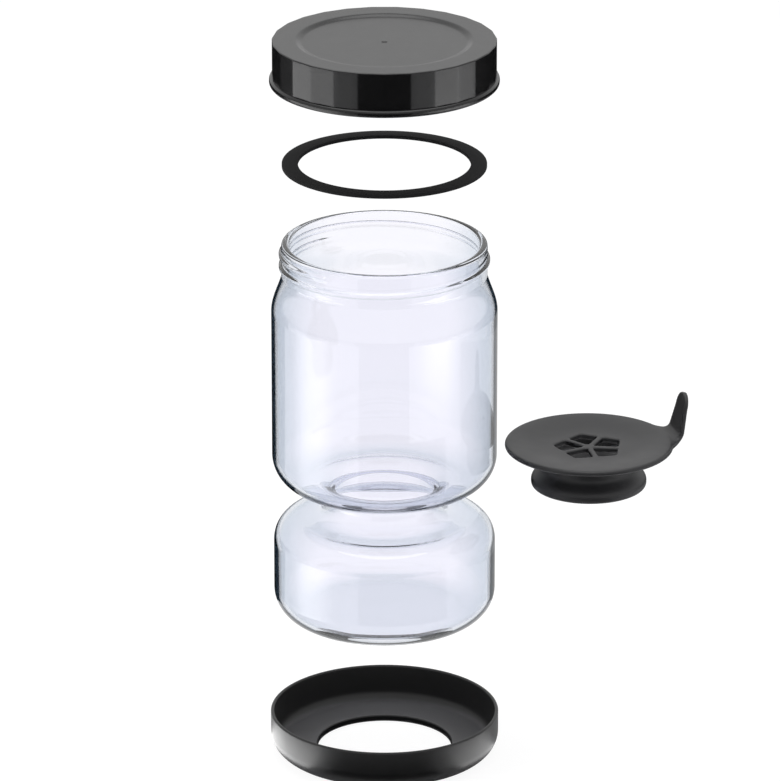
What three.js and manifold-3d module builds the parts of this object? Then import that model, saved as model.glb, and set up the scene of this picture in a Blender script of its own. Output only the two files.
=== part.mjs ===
// Pickle keeper with lift strainer: a waisted glass jar in two chambers, its screw lid and gasket,
// the strainer plug that sits in the waist, and the soft ring that the jar stands in.
// Millimetres, +Z up. The pieces lie as they are photographed: taken apart, one above the other,
// with the strainer beside the jar. Home is straight down for each of them.
import * as THREE from 'three';
import { mergeVertices } from 'three/addons/utils/BufferGeometryUtils.js';
import Module from 'manifold-3d';

const wasm = await Module();
wasm.setup();

// Counts and shares used all round.
const FULL_TURN = Math.PI * 2;
const ROUND_SIDES = 48;
const RIDGE_SIDES = 4;
const HALF_SHARE = 0.5;

// Clearances between the pieces, and how far a cut runs past a face.
const SEAT_GAP = 0.1;
const SLIP_GAP = 0.3;
const THREAD_GAP = 0.35;
const OVERRUN = 3;

// The jar: one piece of pressed glass. Heights are from its own bottom.
const jar = {
  height: 165.4,
  lowerRadius: 46.4,
  lowerHeight: 45.1,
  bottomCorner: 13,
  lowerShoulder: 11,
  upperRadius: 47.3,
  upperUnderside: 58.8,
  upperCorner: 14,
  waistWall: 3.4,
  waistLowerFillet: 7,
  throatRadius: 20.5,
  throatUpperFillet: 6,
  throatLowerFillet: 12,
  wall: 2.3,
  floor: 3.2,
  puntRadius: 27,
  puntDepth: 1.2,
  neckRadius: 42.7,
  neckHeight: 14.2,
  shoulderRise: 15.2,
  neckWall: 3.3,
  rimRound: 1.4,
};

// The share of the straight waist that its upper fillet takes.
const waistShare = 0.93;

// The shoulder's run inward and its rise, from the body to the neck.
const shoulderShares = [[0, 0], [0.1, 0.32], [0.82, 0.88], [1, 1.04]];

// The thread on the jar's neck: a low round ridge that climbs to the left.
const thread = {
  height: 1.05,
  width: 2.5,
  buried: 0.7,
  pitch: 5.08,
  turns: 1.35,
  startBelowRim: 4,
  startAngle: THREE.MathUtils.degToRad(-122),
  fadeTurns: 0.09,
};

// The lid: a cap with flat facets round its side and a bead along its lower edge.
const lid = {
  height: 18.6,
  facets: 27,
  skirtWall: 1.2,
  skirtRelief: 0.6,
  beadReach: 1.1,
  beadHeight: 3.1,
  beadRound: 0.9,
  topEdge: 0.5,
  topThickness: 2,
  topRing: 9.6,
  recessDepth: 1,
  recessSlope: 1.9,
  gateRadius: 1.3,
  gateDepth: 0.4,
  threadWidth: 1.8,
};

// The flat gasket under the lid. It ends a little inside the neck.
const gasket = {
  rimInset: 0.4,
  width: 6.7,
  thickness: 1.5,
  edge: 0.25,
};

// The soft ring that the jar stands in.
const base = {
  height: 18.2,
  wall: 1.5,
  floor: 2.8,
  outerCorner: 9,
  innerCorner: 7.5,
  floorWidth: 18.4,
  holeEdge: 0.6,
};

// The strainer: a shallow dish with a lift tab, five petal holes and a flared collar below.
const strainer = {
  mouthClearance: 4.1,
  discThickness: 2.3,
  dishDepth: 1.9,
  height: 19,
  collarWall: 3.6,
  lipReach: 4,
  lipWall: 2.6,
  lipShoulder: 7.7,
  lipEdge: 1.6,
  lipStraight: 1.2,
};

// How the dish falls from its rim to its flat middle: shares of its radius and of its depth.
const dishShares = [[0.46, 1], [0.72, 0.52]];

// The lip's swell outward from the neck, as shares of its run and of its shoulder's height.
const lipShares = [[1, 0], [0.94, 0.25], [0.75, 0.5], [0.44, 0.75], [0, 1]];

const petals = {
  count: 5,
  ribWidth: 2.4,
  sideInset: 6,
  tipInset: 1.6,
  cornerRound: 1.3,
  cornerSteps: 3,
  turn: THREE.MathUtils.degToRad(-6),
};

const tab = {
  rise: 17.7,
  overhang: 7.6,
  thickness: 2.2,
  bend: 4.6,
  width: 15.2,
  tipWidth: 11.4,
  rootWidth: 31,
  rootInset: 4.3,
  flankInset: 4.9,
  lean: THREE.MathUtils.degToRad(11.5),
  turn: THREE.MathUtils.degToRad(16),
};

// How the tab's flanks draw in, from its root inside the disc to where its full width is reached.
const tabFlankShares = [[0, 0], [0.26, 0.26], [0.52, 0.6], [0.76, 0.86], [1, 1]];

// How far each piece is lifted off its seat in the photographed layout.
const layout = {
  jarLift: 58.9,
  gasketLift: 33.2,
  lidLift: 84,
  strainerLift: 119.9,
  strainerGap: 2.9,
};

// Radii that follow from one another: the neck and the throat lead, and what fits them follows.
const waistRadius = jar.throatRadius + jar.waistWall;
const mouthRadius = jar.neckRadius - jar.neckWall;
const gasketOuter = jar.neckRadius - gasket.rimInset;
const gasketInner = gasketOuter - gasket.width;
const lidThreadCrest = jar.neckRadius + thread.height + THREAD_GAP;
const lidBore = lidThreadCrest + lid.skirtRelief;
const lidFlats = lidBore + lid.skirtWall;
const lidCorners = lidFlats / Math.cos((FULL_TURN * HALF_SHARE) / lid.facets);
const lidBossRadius = gasketInner - SLIP_GAP;
const lidRecess = lidFlats - lid.topRing;
const baseInner = jar.lowerRadius + SLIP_GAP;
const baseHole = baseInner - base.floorWidth;
const discRadius = mouthRadius - strainer.mouthClearance;
const collarRadius = jar.throatRadius - SLIP_GAP;
const collarBore = collarRadius - strainer.collarWall;
const lipRadius = collarRadius + strainer.lipReach;
const tabReach = discRadius + tab.overhang;

// Geometry helpers. Outlines are lists of [radius, height] pairs.
function degreesArc(centreX, centreY, radius, fromDegrees, toDegrees, steps) {
  const points = [];
  for (let i = 0; i <= steps; i += 1) {
    const angle = THREE.MathUtils.degToRad(THREE.MathUtils.lerp(fromDegrees, toDegrees, i / steps));
    points.push([centreX + radius * Math.cos(angle), centreY + radius * Math.sin(angle)]);
  }
  return points;
}

function signedVolume(positions, triangles) {
  const a = new THREE.Vector3();
  const b = new THREE.Vector3();
  const c = new THREE.Vector3();
  let volume = 0;
  for (const [i, j, k] of triangles) {
    a.fromBufferAttribute(positions, i);
    b.fromBufferAttribute(positions, j);
    c.fromBufferAttribute(positions, k);
    volume += a.dot(b.cross(c));
  }
  return volume;
}

// A closed body from any closed geometry, with its faces turned outward.
function solid(geometry) {
  geometry.deleteAttribute('normal');
  geometry.deleteAttribute('uv');
  const merged = mergeVertices(geometry);
  const { index } = merged;
  const { position } = merged.attributes;
  const triangles = [];
  for (let i = 0; i < index.count; i += 3) {
    const [a, b, c] = [index.getX(i), index.getX(i + 1), index.getX(i + 2)];
    if (a !== b && b !== c && c !== a) triangles.push([a, b, c]);
  }
  const inward = signedVolume(position, triangles) < 0;
  const triVerts = new Uint32Array(triangles.flatMap(([a, b, c]) => (inward ? [a, c, b] : [a, b, c])));
  const vertProperties = new Float32Array(position.array);
  return new wasm.Manifold(new wasm.Mesh({ numProp: 3, vertProperties, triVerts }));
}

// Turns an outline round the Z axis.
function revolve(outline, sides = ROUND_SIDES) {
  const points = outline.map(([radius, height]) => new THREE.Vector2(Math.max(radius, 0), height));
  const geometry = new THREE.LatheGeometry(points, sides);
  geometry.rotateX(Math.PI * HALF_SHARE);
  return solid(geometry);
}

function closed(outline) {
  return [...outline, outline[0]];
}

// Raises an outline straight up from height `from` by `depth`.
function raise(outline, from, depth) {
  const shape = new THREE.Shape(outline.map(([x, y]) => new THREE.Vector2(x, y)));
  const geometry = new THREE.ExtrudeGeometry(shape, { depth, bevelEnabled: false });
  geometry.translate(0, 0, from);
  return solid(geometry);
}

function degrees(radians) {
  return THREE.MathUtils.radToDeg(radians);
}

// A round ridge that winds down round the Z axis and fades into its wall at both ends.
// `wall` is the wall's radius, and `reach` how far the crest stands off it: inward when negative.
function helicalRidge({ wall, reach, width, buried, pitch, turns, startHeight, startAngle, fadeTurns }) {
  const steps = Math.round(turns * ROUND_SIDES);
  const outward = Math.sign(reach);
  const root = wall - outward * buried;
  const positions = [];
  for (let i = 0; i <= steps; i += 1) {
    const turn = (i / steps) * turns;
    const fade = Math.min(1, turn / fadeTurns, (turns - turn) / fadeTurns);
    const swell = Math.sin(fade * Math.PI * HALF_SHARE);
    const crest = root + outward * buried * HALF_SHARE + swell * (reach + outward * buried * HALF_SHARE);
    const angle = startAngle - turn * FULL_TURN;
    const height = startHeight - turn * pitch;
    for (let j = 0; j <= RIDGE_SIDES; j += 1) {
      const across = (j / RIDGE_SIDES) * Math.PI;
      const radius = root + (crest - root) * Math.sin(across);
      const rise = width * HALF_SHARE * Math.cos(across);
      positions.push(radius * Math.cos(angle), radius * Math.sin(angle), height + rise);
    }
  }
  const ring = RIDGE_SIDES + 1;
  const indices = [];
  for (let i = 0; i < steps; i += 1) {
    for (let j = 0; j < ring; j += 1) {
      const a = i * ring + j;
      const b = i * ring + ((j + 1) % ring);
      indices.push(a, b, b + ring, a, b + ring, a + ring);
    }
  }
  const last = steps * ring;
  for (let j = 1; j < ring - 1; j += 1) {
    indices.push(0, j + 1, j, last, last + j, last + j + 1);
  }
  const geometry = new THREE.BufferGeometry();
  geometry.setAttribute('position', new THREE.Float32BufferAttribute(positions, 3));
  geometry.setIndex(indices);
  return solid(geometry);
}

function namedMesh(name, body, look) {
  const { vertProperties, triVerts } = body.getMesh();
  const geometry = new THREE.BufferGeometry();
  geometry.setAttribute('position', new THREE.Float32BufferAttribute(vertProperties, 3));
  geometry.setIndex(Array.from(triVerts));
  geometry.computeVertexNormals();
  const mesh = new THREE.Mesh(geometry, new THREE.MeshStandardMaterial(look));
  mesh.name = name;
  return mesh;
}

// Where the body starts to draw in to the neck.
const shoulderBase = jar.height - jar.neckHeight - jar.shoulderRise;

// The glass jar's outer outline, from the bottom's middle up to the rim.
function jarOutside() {
  const lowerCentre = jar.lowerRadius - jar.bottomCorner;
  const lowerTop = jar.lowerHeight - jar.lowerShoulder;
  const waistTop = jar.lowerHeight + jar.waistLowerFillet;
  const upperFillet = (jar.upperUnderside - waistTop) * waistShare;
  const upperCentre = jar.upperRadius - jar.upperCorner;
  const shoulderRun = jar.upperRadius - jar.neckRadius;
  return [
    [0, jar.puntDepth],
    [jar.puntRadius, jar.puntDepth],
    [jar.puntRadius + jar.puntDepth + jar.puntDepth, 0],
    ...degreesArc(lowerCentre, jar.bottomCorner, jar.bottomCorner, -90, 0, 4),
    ...degreesArc(jar.lowerRadius - jar.lowerShoulder, lowerTop, jar.lowerShoulder, 0, 90, 4),
    ...degreesArc(waistRadius + jar.waistLowerFillet, waistTop, jar.waistLowerFillet, 270, 180, 3),
    ...degreesArc(waistRadius + upperFillet, jar.upperUnderside - upperFillet, upperFillet, 180, 90, 3),
    ...degreesArc(upperCentre, jar.upperUnderside + jar.upperCorner, jar.upperCorner, -90, 0, 4),
    ...shoulderShares.map(([run, rise]) => [
      jar.upperRadius - run * shoulderRun,
      shoulderBase + rise * jar.shoulderRise,
    ]),
    ...degreesArc(jar.neckRadius - jar.rimRound, jar.height - jar.rimRound, jar.rimRound, 0, 90, 2),
  ];
}

// The inner outline, from the rim down to the middle of the lower chamber's floor.
function jarInside() {
  const upperInner = jar.upperRadius - jar.wall;
  const lowerInner = jar.lowerRadius - jar.wall;
  const upperFloor = jar.upperUnderside + jar.wall;
  const lowerCeiling = jar.lowerHeight - jar.wall;
  const upperCorner = jar.upperCorner - jar.wall;
  const lowerShoulder = jar.lowerShoulder - jar.wall;
  const bottomCorner = jar.bottomCorner - jar.floor;
  const shoulderRun = upperInner - mouthRadius;
  const { throatRadius, throatUpperFillet: upperFillet, throatLowerFillet: lowerFillet } = jar;
  return [
    ...degreesArc(mouthRadius + jar.rimRound, jar.height - jar.rimRound, jar.rimRound, 90, 180, 2),
    ...shoulderShares.toReversed().map(([run, rise]) => [
      upperInner - run * shoulderRun,
      shoulderBase - jar.wall * HALF_SHARE + rise * jar.shoulderRise,
    ]),
    ...degreesArc(upperInner - upperCorner, upperFloor + upperCorner, upperCorner, 0, -90, 4),
    ...degreesArc(throatRadius + upperFillet, upperFloor - upperFillet, upperFillet, 90, 180, 3),
    ...degreesArc(throatRadius + lowerFillet, lowerCeiling + lowerFillet, lowerFillet, 180, 270, 4),
    ...degreesArc(lowerInner - lowerShoulder, lowerCeiling - lowerShoulder, lowerShoulder, 90, 0, 3),
    ...degreesArc(lowerInner - bottomCorner, jar.floor + bottomCorner, bottomCorner, 0, -90, 3),
    [0, jar.floor],
  ];
}

function glassJar() {
  const ridge = helicalRidge({
    wall: jar.neckRadius,
    reach: thread.height,
    width: thread.width,
    buried: thread.buried,
    pitch: thread.pitch,
    turns: thread.turns,
    startHeight: jar.height - thread.startBelowRim,
    startAngle: thread.startAngle,
    fadeTurns: thread.fadeTurns,
  });
  const body = revolve([...jarOutside(), ...jarInside()]).add(ridge);
  return namedMesh('glass_jar', body, {
    color: 0xdfe4f2,
    roughness: 0.04,
    metalness: 0,
    transparent: true,
    opacity: 0.35,
  });
}

function screwLid() {
  const skirt = revolve([
    [0, 0],
    [lidCorners, 0],
    [lidCorners, lid.height - lid.topEdge],
    [lidCorners - lid.topEdge, lid.height],
    [0, lid.height],
  ], lid.facets);
  const beadRadius = lidCorners + lid.beadReach;
  const bead = revolve(closed([
    [lidFlats - lid.skirtWall * HALF_SHARE, 0],
    ...degreesArc(beadRadius - lid.beadRound, lid.beadRound, lid.beadRound, -90, 0, 2),
    ...degreesArc(beadRadius - lid.beadRound, lid.beadHeight - lid.beadRound, lid.beadRound, 0, 90, 2),
    [lidFlats - lid.skirtWall * HALF_SHARE, lid.beadHeight],
  ]));
  const bore = revolve([
    [0, -OVERRUN],
    [lidBore, -OVERRUN],
    [lidBore, lid.height - lid.topThickness],
    [lidBossRadius, lid.height - lid.topThickness],
    [lidBossRadius, lid.height - lid.topThickness - lid.recessDepth],
    [0, lid.height - lid.topThickness - lid.recessDepth],
  ]);
  const recess = revolve([
    [0, lid.height - lid.recessDepth],
    [lidRecess - lid.recessSlope, lid.height - lid.recessDepth],
    [lidRecess, lid.height],
    [lidRecess, lid.height + OVERRUN],
    [0, lid.height + OVERRUN],
  ]);
  const gate = revolve([
    [0, lid.height - lid.recessDepth - lid.gateDepth],
    [lid.gateRadius - lid.gateDepth, lid.height - lid.recessDepth - lid.gateDepth],
    [lid.gateRadius, lid.height - lid.recessDepth],
    [lid.gateRadius, lid.height],
    [0, lid.height],
  ], lid.facets);
  const ridge = helicalRidge({
    wall: lidBore,
    reach: -lid.skirtRelief,
    width: lid.threadWidth,
    buried: lid.skirtWall * HALF_SHARE,
    pitch: thread.pitch,
    turns: thread.turns,
    startHeight: thread.pitch * (thread.turns + HALF_SHARE),
    startAngle: thread.startAngle,
    fadeTurns: thread.fadeTurns,
  });
  const body = skirt.add(bead).subtract(bore).subtract(recess).subtract(gate).add(ridge);
  return namedMesh('lid', body, { color: 0x3d3d3e, roughness: 0.42, metalness: 0 });
}

function lidGasket() {
  const { thickness, edge } = gasket;
  const body = revolve(closed([
    [gasketInner + edge, 0],
    [gasketOuter - edge, 0],
    [gasketOuter, edge],
    [gasketOuter, thickness - edge],
    [gasketOuter - edge, thickness],
    [gasketInner + edge, thickness],
    [gasketInner, thickness - edge],
    [gasketInner, edge],
  ]));
  return namedMesh('lid_gasket', body, { color: 0x1b1b1c, roughness: 0.6, metalness: 0 });
}

function baseRing() {
  const outerRadius = baseInner + base.wall;
  const lip = base.wall * HALF_SHARE;
  const body = revolve(closed([
    [baseHole, base.holeEdge],
    [baseHole + base.holeEdge, 0],
    ...degreesArc(outerRadius - base.outerCorner, base.outerCorner, base.outerCorner, -90, 0, 4),
    ...degreesArc(outerRadius - lip, base.height - lip, lip, 0, 180, 4),
    ...degreesArc(baseInner - base.innerCorner, base.floor + base.innerCorner, base.innerCorner, 0, -90, 3),
    [baseHole + base.holeEdge, base.floor],
    [baseHole, base.floor - base.holeEdge],
  ]));
  return namedMesh('base_ring', body, { color: 0x454546, roughness: 0.62, metalness: 0 });
}

// One petal hole's corners, pointing along +X: the hub end, one side, the tip, the other side.
function petalCorners() {
  const halfAngle = (FULL_TURN * HALF_SHARE) / petals.count;
  const halfRib = petals.ribWidth * HALF_SHARE;
  const sideReach = collarBore - petals.sideInset;
  const side = sideReach * Math.tan(halfAngle) - halfRib / Math.cos(halfAngle);
  return [
    [halfRib / Math.sin(halfAngle), 0],
    [sideReach, -side],
    [collarBore - petals.tipInset, 0],
    [sideReach, side],
  ];
}

// The same outline with each corner rounded off.
function roundedOutline(corners, round, steps) {
  const outline = [];
  corners.forEach(([x, y], i) => {
    const corner = new THREE.Vector2(x, y);
    const before = new THREE.Vector2(...corners.at(i - 1));
    const after = new THREE.Vector2(...corners[(i + 1) % corners.length]);
    const from = corner.clone().add(before.sub(corner).setLength(round));
    const to = corner.clone().add(after.sub(corner).setLength(round));
    const curve = new THREE.QuadraticBezierCurve(from, corner, to);
    curve.getPoints(steps).forEach((point) => outline.push([point.x, point.y]));
  });
  return outline;
}

// The lift tab grows out of the disc's edge, bends up and leans outward a little. It is the
// meeting of its side view, its plan and its front view, drawn along +X.
function liftTab() {
  const top = strainer.discThickness + tab.rise;
  const innerBend = tab.bend - tab.thickness * HALF_SHARE;
  const outerBend = tab.bend + tab.thickness * HALF_SHARE;
  const leanRun = (top - tab.bend) * Math.tan(tab.lean);
  const bendX = tabReach - leanRun - outerBend;
  const bendZ = outerBend;
  const leanEnd = degrees(tab.lean);
  const rootX = discRadius - tab.rootInset;
  const side = [
    [rootX, 0],
    ...degreesArc(bendX, bendZ, outerBend, -90, -leanEnd, 4),
    [tabReach, top],
    [tabReach - tab.thickness, top],
    ...degreesArc(bendX, bendZ, innerBend, -leanEnd, -90, 3),
    [rootX, tab.thickness],
  ];
  const halfRoot = tab.rootWidth * HALF_SHARE;
  const halfWidth = tab.width * HALF_SHARE;
  const halfTip = tab.tipWidth * HALF_SHARE;
  const rootRun = tabReach - tab.flankInset - rootX;
  const flank = tabFlankShares.map(([run, narrowing]) => [
    rootX + run * rootRun,
    THREE.MathUtils.lerp(halfRoot, halfWidth, narrowing),
  ]);
  const plan = [
    ...flank.map(([x, y]) => [x, -y]),
    [tabReach + OVERRUN, -halfWidth],
    [tabReach + OVERRUN, halfWidth],
    ...flank.toReversed(),
  ];
  const tipCentre = top - halfTip;
  const front = [
    [-halfRoot, -OVERRUN],
    [halfRoot, -OVERRUN],
    [halfRoot, outerBend],
    [halfWidth, outerBend],
    ...degreesArc(0, tipCentre, halfTip, 0, 180, 10),
    [-halfWidth, outerBend],
    [-halfRoot, outerBend],
  ];
  const sideBody = raise(side, -halfRoot, tab.rootWidth).rotate([90, 0, 0]);
  const planBody = raise(plan, -OVERRUN, top + OVERRUN + OVERRUN);
  const frontBody = raise(front, 0, tabReach + OVERRUN).rotate([90, 0, 90]);
  return sideBody.intersect(planBody).intersect(frontBody).rotate([0, 0, degrees(tab.turn)]);
}

function liftStrainer() {
  const under = strainer.height - strainer.discThickness;
  const edge = strainer.discThickness * HALF_SHARE;
  const lipTop = strainer.lipEdge + strainer.lipStraight;
  const shoulderTop = lipTop + strainer.lipShoulder;
  const collarMouth = lipRadius - strainer.lipWall;
  const dish = dishShares.map(([run, fall]) => [run * discRadius, fall * strainer.dishDepth]);
  const disc = revolve([
    [0, under - strainer.dishDepth],
    ...dish.map(([radius, fall]) => [radius, under - fall]),
    ...degreesArc(discRadius - edge, under + edge, edge, -90, 90, 4),
    ...dish.toReversed().map(([radius, fall]) => [radius, strainer.height - fall]),
    [0, strainer.height - strainer.dishDepth],
  ]);
  const collar = revolve(closed([
    [collarMouth, 0],
    ...degreesArc(lipRadius - strainer.lipEdge, strainer.lipEdge, strainer.lipEdge, -90, 0, 2),
    ...lipShares.map(([run, rise]) => [
      collarRadius + run * strainer.lipReach,
      THREE.MathUtils.lerp(lipTop, shoulderTop, rise),
    ]),
    [collarRadius, under + edge - strainer.dishDepth],
    [collarBore, under + edge - strainer.dishDepth],
    [collarBore, shoulderTop],
    [collarMouth, strainer.lipEdge],
  ]));
  const petal = raise(roundedOutline(petalCorners(), petals.cornerRound, petals.cornerSteps),
    under - strainer.dishDepth - OVERRUN, strainer.discThickness + strainer.dishDepth + OVERRUN + OVERRUN);
  const lift = liftTab().translate([0, 0, under]);
  let body = disc.add(collar).add(lift);
  for (let i = 0; i < petals.count; i += 1) {
    const turn = petals.turn + ((i + HALF_SHARE) / petals.count) * FULL_TURN;
    body = body.subtract(petal.rotate([0, 0, degrees(turn)]));
  }
  return namedMesh('strainer', body, { color: 0x4c4c4d, roughness: 0.5, metalness: 0 });
}

// The layout: every piece stands straight above its seat, and the strainer stands aside.
function assemble() {
  const whole = new THREE.Group();
  const jarSeat = base.floor + SEAT_GAP;
  const jarBottom = jarSeat + layout.jarLift;
  const gasketSeat = jarBottom + jar.height + SEAT_GAP;
  const lidSeat = gasketSeat + gasket.thickness + SEAT_GAP + lid.topThickness - lid.height;
  const ring = baseRing();
  const glass = glassJar();
  const seal = lidGasket();
  const cap = screwLid();
  const plug = liftStrainer();
  glass.position.z = jarBottom;
  seal.position.z = gasketSeat + layout.gasketLift;
  cap.position.z = lidSeat + layout.lidLift;
  const aside = jar.upperRadius + layout.strainerGap + discRadius;
  plug.position.set(aside, 0, SEAT_GAP + layout.strainerLift);
  whole.add(ring, glass, seal, cap, plug);
  whole.updateMatrixWorld(true);
  const middle = new THREE.Box3().setFromObject(whole, true).getCenter(new THREE.Vector3());
  whole.position.set(-middle.x, -middle.y, 0);
  return whole;
}

export default assemble();
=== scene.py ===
"""Looks for the pickle keeper: a waisted glass jar taken apart from its lid, gasket, strainer and base ring.

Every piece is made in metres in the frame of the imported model, and stands where its CAD node stands.
"""

import math

import bmesh
import bpy
from bpy.props import FloatProperty, FloatVectorProperty, IntProperty, PointerProperty
from mathutils import Matrix, Vector


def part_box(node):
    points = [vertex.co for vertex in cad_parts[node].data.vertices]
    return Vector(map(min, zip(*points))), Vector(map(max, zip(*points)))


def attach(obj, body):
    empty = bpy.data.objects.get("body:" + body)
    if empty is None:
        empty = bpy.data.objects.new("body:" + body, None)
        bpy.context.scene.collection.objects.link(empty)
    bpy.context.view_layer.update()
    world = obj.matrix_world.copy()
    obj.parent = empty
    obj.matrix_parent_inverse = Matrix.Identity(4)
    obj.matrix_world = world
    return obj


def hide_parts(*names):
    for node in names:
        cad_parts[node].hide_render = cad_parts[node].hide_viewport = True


bl_info = {
    "name": "Pickle keeper with lift strainer",
    "version": (1, 0, 0),
    "blender": (4, 5, 0),
    "location": "3D View > Sidebar > Keeper",
    "description": "Builds the jar, lid, gasket, strainer and base ring round their packed solids",
    "category": "Object",
}

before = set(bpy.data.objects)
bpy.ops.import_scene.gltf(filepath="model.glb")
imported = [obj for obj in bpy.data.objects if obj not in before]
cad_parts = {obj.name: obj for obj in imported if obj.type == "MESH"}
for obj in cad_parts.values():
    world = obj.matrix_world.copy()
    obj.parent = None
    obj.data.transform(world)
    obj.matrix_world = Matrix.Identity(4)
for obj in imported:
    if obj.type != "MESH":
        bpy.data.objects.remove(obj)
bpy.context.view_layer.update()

MM = 0.001
TAU = 2 * math.pi
QUARTER = 90  # degrees
ON_AXIS = 1e-9  # a point of an outline nearer the axis than this is on it

# Where each piece stands: its axis in x and y, and its lowest height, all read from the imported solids.
JAR_LOW, JAR_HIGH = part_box("glass_jar")
LID_LOW, LID_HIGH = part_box("lid")
GASKET_LOW, GASKET_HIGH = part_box("lid_gasket")
RING_LOW, RING_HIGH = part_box("base_ring")
STRAINER_LOW, STRAINER_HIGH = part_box("strainer")
JAR_AXIS = (JAR_LOW.x + JAR_HIGH.x) / 2
STRAINER_RADIUS = (STRAINER_HIGH.y - STRAINER_LOW.y) / 2
STRAINER_AXIS = STRAINER_LOW.x + STRAINER_RADIUS


# Small helpers: property makers, colours and outlines.
def size(name, description, millimetres):
    """A length in metres, given in millimetres."""
    return FloatProperty(name=name, description=description, default=millimetres * MM,
                         min=0, precision=5, unit="LENGTH", subtype="DISTANCE")


def linear(hex_colour):
    """An sRGB hex colour as linear red, green and blue."""
    channels = [int(hex_colour[i:i + 2], 16) / 255 for i in (1, 3, 5)]
    return tuple(c / 12.92 if c <= 0.04045 else ((c + 0.055) / 1.055) ** 2.4 for c in channels)


def tilt(name, description, degrees):
    """An angle in radians, given in degrees."""
    return FloatProperty(name=name, description=description, default=math.radians(degrees), subtype="ANGLE")


def colour(name, description, hex_colour):
    """A colour, given in sRGB hex."""
    return FloatVectorProperty(name=name, description=description, default=linear(hex_colour),
                               min=0, max=1, size=3, subtype="COLOR")


def arc(centre_r, centre_z, radius, from_degrees, to_degrees, steps=10):
    """Points on an arc of an outline, as (radius, height) pairs."""
    angles = [math.radians(from_degrees + (to_degrees - from_degrees) * i / steps) for i in range(steps + 1)]
    return [(centre_r + radius * math.cos(a), centre_z + radius * math.sin(a)) for a in angles]


def line(start, end, steps):
    """Even points on a straight stretch, without its ends."""
    return [(start[0] + (end[0] - start[0]) * i / steps, start[1] + (end[1] - start[1]) * i / steps)
            for i in range(1, steps)]


def smoothstep(t):
    """An ease from zero to one, flat at both ends."""
    t = min(1.0, max(0.0, t))
    return t * t * (3 - 2 * t)


# Sizes and colours that a user would change.
class KeeperJar(bpy.types.PropertyGroup):
    height: size("Height", "From the foot to the rim", 165.4)
    lower_radius: size("Lower radius", "Outer radius of the lower chamber", 46.4)
    lower_height: size("Lower height", "Top of the lower chamber's shoulder", 45.1)
    bottom_corner: size("Bottom corner", "Outer radius of the foot's corner", 13)
    lower_shoulder: size("Lower shoulder", "Outer radius of the lower chamber's shoulder", 11)
    upper_radius: size("Upper radius", "Outer radius of the upper chamber", 47)
    upper_underside: size("Upper underside", "Height of the upper chamber's underside", 58.8)
    upper_corner: size("Upper corner", "Outer radius of the upper chamber's lower corner", 14)
    waist_radius: size("Waist radius", "Outer radius of the waist", 23.9)
    waist_lower_fillet: size("Waist lower fillet", "Outer fillet under the waist", 7)
    waist_upper_fillet: size("Waist upper fillet", "Outer fillet over the waist", 6.2)
    throat_radius: size("Throat radius", "Bore through the waist", 20.8)
    throat_edge: size("Throat edge", "Height where the upper chamber's floor dips into the throat", 56)
    throat_lower_fillet: size("Throat lower fillet", "Inner fillet under the throat", 10)
    wall: size("Wall", "Glass wall", 2.3)
    floor: size("Floor", "Glass floor of the lower chamber", 2.4)
    punt_radius: size("Punt radius", "Radius of the hollow under the foot", 27)
    punt_depth: size("Punt depth", "Depth of the hollow under the foot", 0.25)
    neck_radius: size("Neck radius", "Outer radius of the neck", 42.7)
    neck_base: size("Neck base", "Height where the shoulder meets the neck", 151.2)
    shoulder_base: size("Shoulder base", "Height where the body starts to draw in", 136)
    mouth_radius: size("Mouth radius", "Radius of the mouth", 39.4)
    rim_round: size("Rim round", "Rounding of the rim", 1.4)
    thread_height: size("Thread height", "How far the thread stands out", 1.05)
    thread_width: size("Thread width", "Width of the thread's foot", 3.2)
    thread_pitch: size("Thread pitch", "Rise of one turn", 5.08)
    thread_start: size("Thread start", "Thread's upper end below the rim", 4)
    thread_turns: FloatProperty(name="Thread turns", description="Turns of the thread", default=1.35, min=0)
    thread_angle: tilt("Thread angle", "Where the thread's upper end lies", -122)
    thread_fade: FloatProperty(name="Thread fade", description="Turns over which the thread runs out",
                               default=0.09, min=0.001)
    glass_colour: colour("Glass colour", "Tint seen straight through a wall", "#F5F5FB")
    slant_colour: colour("Slant colour", "Tint seen through a wall at a slant", "#CCD5DE")
    # Painted shade: a dark navy colour painted into the glass just inside the jar's outline, standing in for the
    # dark surroundings that the wall shows there.
    edge_colour: colour("Edge colour", "Tint seen along a wall, at the jar's outline", "#02050A")


class KeeperLid(bpy.types.PropertyGroup):
    facets: IntProperty(name="Facets", description="Flat facets round the skirt", default=27, min=3)
    flats_radius: size("Flats radius", "Radius to the middle of a facet", 45.9)
    corner_round: size("Corner round", "How much each facet corner is eased", 0.06)
    bead_reach: size("Bead reach", "How far the bead stands out from the corners", 1.1)
    bead_height: size("Bead height", "Height of the bead", 3.1)
    bead_round: size("Bead round", "Rounding of the bead", 1.25)
    top_edge: size("Top edge", "Rounding of the top edge", 0.5)
    top_thickness: size("Top thickness", "Thickness of the top", 2)
    recess_radius: size("Recess radius", "Radius of the panel sunk in the top", 36.8)
    recess_depth: size("Recess depth", "Depth of the panel", 1)
    recess_slope: size("Recess slope", "Width of the panel's sloped edge", 3.4)
    gate_radius: size("Gate radius", "Radius of the moulding mark in the middle", 1.3)
    gate_depth: size("Gate depth", "Depth of the moulding mark", 0.4)
    bore_radius: size("Bore radius", "Inner radius of the skirt", 44.7)
    thread_depth: size("Thread depth", "How far the lid's thread stands in", 0.6)
    thread_width: size("Thread width", "Width of the lid's thread", 1.8)
    boss_radius: size("Boss radius", "Radius of the boss that centres the gasket", 35.3)
    plastic: colour("Plastic colour", "Moulded polypropylene", "#09090A")


class KeeperGasket(bpy.types.PropertyGroup):
    outer_radius: size("Outer radius", "Outer radius", 42.3)
    inner_radius: size("Inner radius", "Inner radius", 35.6)
    edge: size("Edge", "Rounding of the edges", 0.25)
    rubber: colour("Rubber colour", "Moulded rubber", "#101011")


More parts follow.
